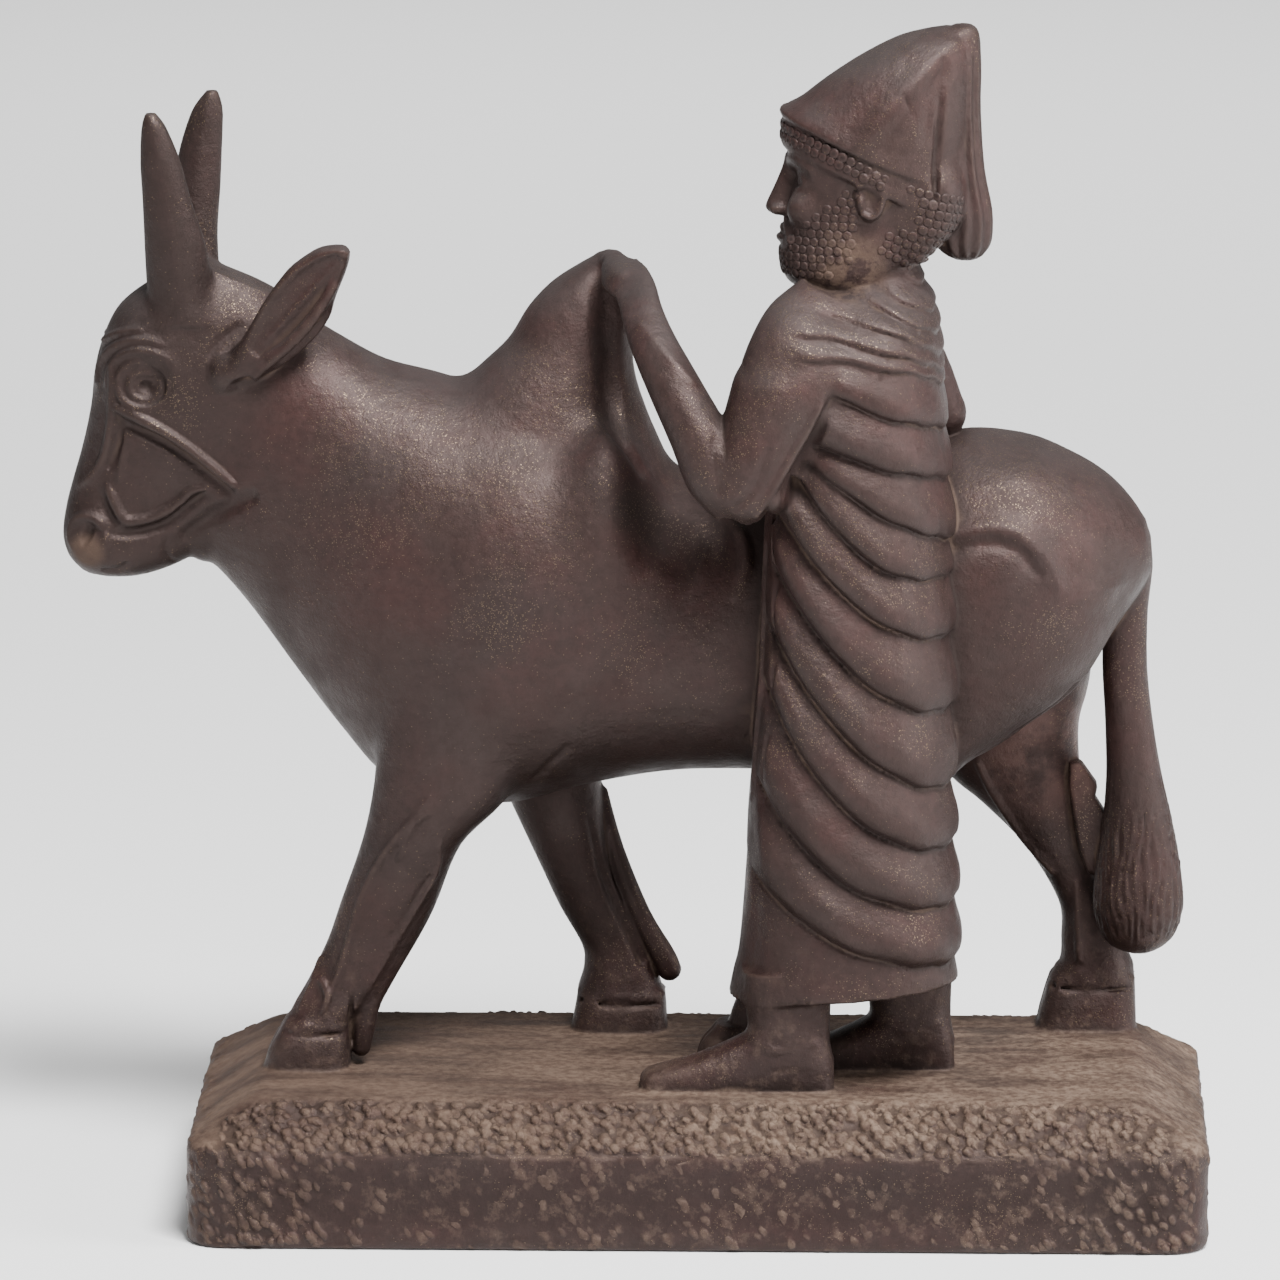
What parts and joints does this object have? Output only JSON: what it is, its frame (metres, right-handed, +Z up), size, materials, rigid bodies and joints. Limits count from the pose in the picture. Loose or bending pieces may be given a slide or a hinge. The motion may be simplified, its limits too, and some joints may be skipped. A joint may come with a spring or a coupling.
{
  "type": "tribute bearer statue",
  "caption": "Cast table statue of a bearded man in a pleated robe and pointed cap walking beside a humped bull, on a rough-hewn block plinth.",
  "frame": {"origin": "middle of the plinth's underside", "axes": "+Z up, the bull walks towards -X along the plinth, the man stands on its -Y side"},
  "size_m": [0.2038, 0.082, 0.2138],
  "materials": {
    "cast_resin": "solid cast resin and stone powder, stained dark brown with ochre dust in its hollows and a faint bronze sheen"
  },
  "bodies": {
    "root": {"tribute_bearer_statue": "cast_resin"}
  },
  "joints": []
}
